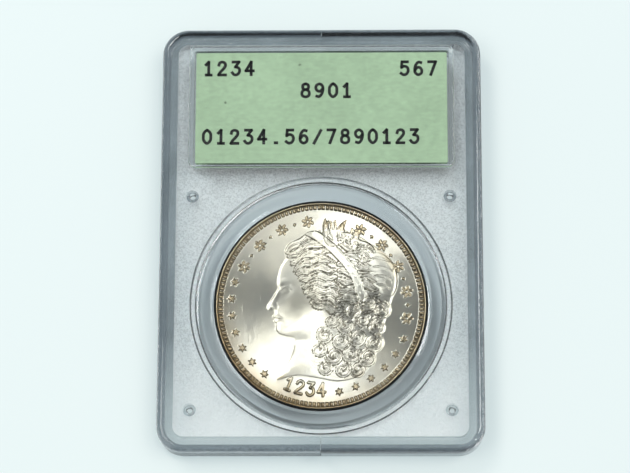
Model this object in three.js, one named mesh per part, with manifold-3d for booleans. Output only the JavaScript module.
// Coin slab: two clear shells welded into one flat case, with a paper label behind each
// label window and a coin in a clear insert ring behind the round window.
// Units are millimetres. The case lies on its back: +Z is out of the front face, +Y is
// towards the label end, and the origin is the centre of the rear face.
import * as THREE from 'three';
import { mergeVertices } from 'three/addons/utils/BufferGeometryUtils.js';
import Module from 'manifold-3d';

// ---- driving dimensions -------------------------------------------------------------
const CASE_WIDTH = 58.8;
const CASE_LENGTH = 79.0;
const CASE_THICKNESS = 6.6;
const CORNER_RADIUS = 4.8;
const EDGE_ROUND = 1.2; // rounding where the faces meet the sides
const PLATE = 1.5; // thickness of the front and rear windows
const LIP = 1.4; // thickness of each of the two overlapping side walls
const SEAM_GAP = 0.1; // clearance between the two shells along the seam

const LABEL_CENTRE_Y = 24.5;
const PLATEAU_WIDTH = 48.7; // raised pane in front of the label
const PLATEAU_LENGTH = 23.4;
const PLATEAU_RISE = 0.3;
const PLATEAU_CORNER = 1.3;
const PLATEAU_BEVEL = 0.15;
const RIB = 0.7; // thickness of the ribs inside the case
const RIB_SETBACK = 0.1; // rib's outer face inside the plateau's edge
const LABEL_WIDTH = 46.4;
const LABEL_LENGTH = 21.2;
const LABEL_PAPER = 0.2;
const LABEL_CORNER = 0.3;
const LABEL_GAP = 0.15; // between a label and its window

const COIN_CENTRE_Y = -12.5;
const COIN_RADIUS = 19.05;
const COIN_THICKNESS = 2.4;
const COIN_RIM = 1.0; // width of the raised rim
const COIN_FIELD_DEPTH = 0.3; // field below the rim on each side

const RING_INNER_RADIUS = 19.4;
const RING_OUTER_RADIUS = 22.5;
const RING_TOP_CHAMFER = 0.6;
const RING_SHOULDER_RADIUS = 21.2; // where the top starts to slope down outwards
const RING_SHOULDER_DROP = 1.9;
const RING_GAP = 0.1; // between the ring and the rear window
const RING_FLOAT = 0.3; // play left under the front window
const RING_LEDGE = 0.6; // seat under the coin's rim
const TAB_COUNT = 6; // small grips round the ring's bore
const TAB_FIRST_ANGLE = 27; // degrees, counter-clockwise from +X
const TAB_WIDTH = 1.2;
const TAB_COIN_GAP = 0.1;
const WELL_RADIUS = 22.8; // inside of the round ribs that keep the ring centred

const PIN_X = 23.5; // locating pins, mirrored left and right
const PIN_YS = [7.6, -31.8];
const PIN_RADIUS = 0.6;
const SOCKET_INNER_RADIUS = 0.72;
const SOCKET_OUTER_RADIUS = 1.2;
const PIN_TIP_GAP = 0.3;

const GATE_Y = -6.9; // moulding gate notches in the long sides
const GATE_LENGTH = 2.4;
const GATE_HEIGHT = 1.4;
const GATE_DEPTH = 0.25;

const CORNER_STEPS = 7;
const ROUND_STEPS = 3;
const CIRCLE_STEPS = 72;
const SMALL_CORNER_STEPS = 2;
const PIN_STEPS = 20;
const OVERSHOOT = 1; // how far a cutting or joining block runs past its target

// ---- derived heights ----------------------------------------------------------------
const MID_Z = CASE_THICKNESS / 2;
const FRONT_INNER_Z = CASE_THICKNESS - PLATE;
const REAR_INNER_Z = PLATE;
const FRONT_LIP_Z = REAR_INNER_Z + SEAM_GAP;
const REAR_LIP_Z = FRONT_INNER_Z - SEAM_GAP;
const FRONT_RIB_Z = MID_Z + SEAM_GAP / 2;
const REAR_RIB_Z = MID_Z - SEAM_GAP / 2;

const wasm = await Module();
wasm.setup();

// ---- solid helpers ------------------------------------------------------------------
function solid(geometry) {
  geometry.deleteAttribute('normal');
  geometry.deleteAttribute('uv');
  const merged = mergeVertices(geometry, 1e-5);
  const mesh = new wasm.Mesh({
    numProp: 3,
    vertProperties: Float32Array.from(merged.attributes.position.array),
    triVerts: Uint32Array.from(merged.index.array),
  });
  return new wasm.Manifold(mesh);
}

function joined(solids) {
  return solids.reduce((whole, piece) => whole.add(piece));
}

function node(name, shape, material) {
  const mesh = shape.getMesh();
  const geometry = new THREE.BufferGeometry();
  geometry.setAttribute('position', new THREE.BufferAttribute(mesh.vertProperties, 3));
  geometry.setIndex(new THREE.BufferAttribute(mesh.triVerts, 1));
  geometry.computeVertexNormals();
  const result = new THREE.Mesh(geometry, material);
  result.name = name;
  return result;
}

function tracedRectangle(path, width, length, radius, centreY) {
  const right = width / 2 - radius;
  const top = length / 2 - radius;
  path.absarc(right, centreY + top, radius, 0, Math.PI / 2, false);
  path.absarc(-right, centreY + top, radius, Math.PI / 2, Math.PI, false);
  path.absarc(-right, centreY - top, radius, Math.PI, 1.5 * Math.PI, false);
  path.absarc(right, centreY - top, radius, 1.5 * Math.PI, 2 * Math.PI, false);
  path.closePath();
  return path;
}

function roundedRectangle(width, length, radius, centreY = 0) {
  return tracedRectangle(new THREE.Shape(), width, length, radius, centreY);
}

function prism(shape, lowZ, highZ, steps = CORNER_STEPS) {
  const geometry = new THREE.ExtrudeGeometry(shape, {
    depth: highZ - lowZ,
    bevelEnabled: false,
    curveSegments: steps,
  });
  geometry.translate(0, 0, lowZ);
  return solid(geometry);
}

function block(lowX, highX, lowY, highY, lowZ, highZ) {
  const geometry = new THREE.BoxGeometry(highX - lowX, highY - lowY, highZ - lowZ);
  geometry.translate((lowX + highX) / 2, (lowY + highY) / 2, (lowZ + highZ) / 2);
  return solid(geometry);
}

function insetOutline(inset) {
  return roundedRectangle(
    CASE_WIDTH - 2 * inset, CASE_LENGTH - 2 * inset, CORNER_RADIUS - inset);
}

function band(outerInset, innerInset, lowZ, highZ) {
  const outer = prism(insetOutline(outerInset), lowZ, highZ);
  const inner = prism(insetOutline(innerInset), lowZ - OVERSHOOT, highZ + OVERSHOOT);
  return outer.subtract(inner);
}

function lathe(points, centreX, centreY, steps = CIRCLE_STEPS) {
  const profile = points.map(([radius, z]) => new THREE.Vector2(radius, z));
  const geometry = new THREE.LatheGeometry(profile, steps);
  geometry.rotateX(Math.PI / 2);
  geometry.translate(centreX, centreY, 0);
  return solid(geometry);
}

function tube(innerRadius, outerRadius, lowZ, highZ, centreX, centreY, steps) {
  const profile = [
    [innerRadius, lowZ], [outerRadius, lowZ], [outerRadius, highZ],
    [innerRadius, highZ], [innerRadius, lowZ],
  ];
  return lathe(profile, centreX, centreY, steps);
}

function rod(radius, lowZ, highZ, centreX, centreY, steps) {
  const profile = [[0, lowZ], [radius, lowZ], [radius, highZ], [0, highZ]];
  return lathe(profile, centreX, centreY, steps);
}

// ---- case ---------------------------------------------------------------------------
// The whole outside of the case, rounded at both faces.
function caseBlank() {
  const shape = insetOutline(EDGE_ROUND);
  const geometry = new THREE.ExtrudeGeometry(shape, {
    depth: CASE_THICKNESS - 2 * EDGE_ROUND,
    bevelEnabled: true,
    bevelThickness: EDGE_ROUND,
    bevelSize: EDGE_ROUND,
    bevelSegments: ROUND_STEPS,
    curveSegments: CORNER_STEPS,
  });
  geometry.translate(0, 0, EDGE_ROUND);
  return solid(geometry);
}

// One half of the case, cut by the plane x = 0 with half the seam gap on each side.
function half(side, lowZ, highZ) {
  const near = side * SEAM_GAP / 2;
  const far = side * CASE_WIDTH;
  return block(Math.min(near, far), Math.max(near, far), -CASE_LENGTH, CASE_LENGTH, lowZ, highZ);
}

// A shell is its plate, an outer lip along one half of the edge and an inner lip along
// the other half. The two shells lap each other and swap sides at x = 0.
function shellBody(plateLowZ, plateHighZ, lipLowZ, lipHighZ, outerSide) {
  const plate = block(-CASE_WIDTH, CASE_WIDTH, -CASE_LENGTH, CASE_LENGTH, plateLowZ, plateHighZ);
  const outerLip = band(0, LIP, lipLowZ, lipHighZ)
    .intersect(half(outerSide, lipLowZ - OVERSHOOT, lipHighZ + OVERSHOOT));
  const innerLip = band(LIP + SEAM_GAP, 2 * LIP + SEAM_GAP, lipLowZ, lipHighZ)
    .intersect(half(-outerSide, lipLowZ - OVERSHOOT, lipHighZ + OVERSHOOT));
  return caseBlank().intersect(joined([plate, outerLip, innerLip]));
}

function labelRib(lowZ, highZ) {
  const width = PLATEAU_WIDTH - 2 * RIB_SETBACK;
  const length = PLATEAU_LENGTH - 2 * RIB_SETBACK;
  const outer = roundedRectangle(width, length, PLATEAU_CORNER, LABEL_CENTRE_Y);
  const inner = roundedRectangle(
    width - 2 * RIB, length - 2 * RIB, PLATEAU_CORNER - RIB, LABEL_CENTRE_Y);
  const hollow = prism(inner, lowZ - OVERSHOOT, highZ + OVERSHOOT, SMALL_CORNER_STEPS);
  return prism(outer, lowZ, highZ, SMALL_CORNER_STEPS).subtract(hollow);
}

function wellRib(lowZ, highZ) {
  return tube(WELL_RADIUS, WELL_RADIUS + RIB, lowZ, highZ, 0, COIN_CENTRE_Y);
}

// The raised pane in front of the label, with a small bevel round its top.
function plateau() {
  const shape = roundedRectangle(
    PLATEAU_WIDTH - 2 * PLATEAU_BEVEL, PLATEAU_LENGTH - 2 * PLATEAU_BEVEL,
    PLATEAU_CORNER - PLATEAU_BEVEL, LABEL_CENTRE_Y);
  const base = CASE_THICKNESS - PLATE / 2;
  const geometry = new THREE.ExtrudeGeometry(shape, {
    depth: PLATEAU_RISE + PLATE / 2 - 2 * PLATEAU_BEVEL,
    bevelEnabled: true,
    bevelThickness: PLATEAU_BEVEL,
    bevelSize: PLATEAU_BEVEL,
    bevelSegments: 1,
    curveSegments: SMALL_CORNER_STEPS,
  });
  geometry.translate(0, 0, base + PLATEAU_BEVEL);
  return solid(geometry);
}

function pinPlaces() {
  return PIN_YS.flatMap((y) => [[-PIN_X, y], [PIN_X, y]]);
}

function gateNotch(side) {
  const face = side * CASE_WIDTH / 2;
  const inner = face - side * GATE_DEPTH;
  const outer = face + side * OVERSHOOT;
  return block(
    Math.min(inner, outer), Math.max(inner, outer),
    GATE_Y - GATE_LENGTH / 2, GATE_Y + GATE_LENGTH / 2,
    MID_Z - GATE_HEIGHT / 2, MID_Z + GATE_HEIGHT / 2);
}

function frontShell() {
  const root = FRONT_INNER_Z + PLATE / 2;
  const body = shellBody(
    FRONT_INNER_Z, CASE_THICKNESS + OVERSHOOT, FRONT_LIP_Z, root, -1);
  const pins = pinPlaces().map(([x, y]) =>
    rod(PIN_RADIUS, REAR_INNER_Z + PIN_TIP_GAP, root, x, y, PIN_STEPS));
  const details = [body, plateau(), labelRib(FRONT_RIB_Z, root), wellRib(FRONT_RIB_Z, root)];
  return joined([...details, ...pins]).subtract(gateNotch(-1));
}

function rearShell() {
  const root = REAR_INNER_Z - PLATE / 2;
  const body = shellBody(-OVERSHOOT, REAR_INNER_Z, root, REAR_LIP_Z, 1);
  const sockets = pinPlaces().map(([x, y]) =>
    tube(SOCKET_INNER_RADIUS, SOCKET_OUTER_RADIUS, root, REAR_RIB_Z, x, y, PIN_STEPS));
  const details = [body, labelRib(root, REAR_RIB_Z), wellRib(root, REAR_RIB_Z)];
  return joined([...details, ...sockets]).subtract(gateNotch(1));
}

// ---- contents -----------------------------------------------------------------------
function ringTab(angleDegrees, lowZ, highZ) {
  const reach = RING_INNER_RADIUS - COIN_RADIUS - TAB_COIN_GAP;
  const inner = COIN_RADIUS + TAB_COIN_GAP;
  const geometry = new THREE.BoxGeometry(2 * reach, TAB_WIDTH, highZ - lowZ);
  geometry.translate(inner + reach, 0, (lowZ + highZ) / 2);
  geometry.rotateZ(THREE.MathUtils.degToRad(angleDegrees));
  geometry.translate(0, COIN_CENTRE_Y, 0);
  return solid(geometry);
}

function coinRing() {
  const low = REAR_INNER_Z + RING_GAP;
  const high = FRONT_INNER_Z - RING_FLOAT;
  const seat = MID_Z - COIN_THICKNESS / 2 - RING_GAP;
  const section = [
    [RING_INNER_RADIUS - RING_LEDGE, low],
    [RING_OUTER_RADIUS, low],
    [RING_OUTER_RADIUS, high - RING_SHOULDER_DROP],
    [RING_SHOULDER_RADIUS, high],
    [RING_INNER_RADIUS + RING_TOP_CHAMFER, high],
    [RING_INNER_RADIUS, high - RING_TOP_CHAMFER],
    [RING_INNER_RADIUS, seat],
    [RING_INNER_RADIUS - RING_LEDGE, seat],
    [RING_INNER_RADIUS - RING_LEDGE, low],
  ];
  const ring = lathe(section, 0, COIN_CENTRE_Y);
  const tabs = Array.from({ length: TAB_COUNT }, (_, index) =>
    ringTab(TAB_FIRST_ANGLE + index * 360 / TAB_COUNT, seat - RING_GAP, high - RING_TOP_CHAMFER));
  return joined([ring, ...tabs]);
}

function coin() {
  const low = MID_Z - COIN_THICKNESS / 2;
  const high = MID_Z + COIN_THICKNESS / 2;
  const rimRadius = COIN_RADIUS - COIN_RIM;
  const fieldRadius = rimRadius - COIN_FIELD_DEPTH;
  const section = [
    [0, low + COIN_FIELD_DEPTH],
    [fieldRadius, low + COIN_FIELD_DEPTH],
    [rimRadius, low],
    [COIN_RADIUS, low],
    [COIN_RADIUS, high],
    [rimRadius, high],
    [fieldRadius, high - COIN_FIELD_DEPTH],
    [0, high - COIN_FIELD_DEPTH],
  ];
  return lathe(section, 0, COIN_CENTRE_Y);
}

function label(lowZ) {
  const shape = roundedRectangle(LABEL_WIDTH, LABEL_LENGTH, LABEL_CORNER, LABEL_CENTRE_Y);
  return prism(shape, lowZ, lowZ + LABEL_PAPER, SMALL_CORNER_STEPS);
}

// ---- materials and assembly ---------------------------------------------------------
function material(color, roughness, metalness, opacity = 1) {
  return new THREE.MeshStandardMaterial({
    color, roughness, metalness, opacity, transparent: opacity < 1,
  });
}

const slab = new THREE.Group();
slab.add(node('front_shell', frontShell(), material(0xdfe9ee, 0.15, 0, 0.3)));
slab.add(node('rear_shell', rearShell(), material(0xdde7ee, 0.15, 0, 0.3)));
slab.add(node('coin_ring', coinRing(), material(0xc9d6e2, 0.2, 0, 0.35)));
slab.add(node('coin', coin(), material(0xe6e3d6, 0.25, 1)));
slab.add(node('front_label', label(FRONT_INNER_Z - LABEL_GAP - LABEL_PAPER),
  material(0xa9c8a2, 0.8, 0)));
slab.add(node('rear_label', label(REAR_INNER_Z + LABEL_GAP), material(0xb4cdab, 0.8, 0)));

export default slab;
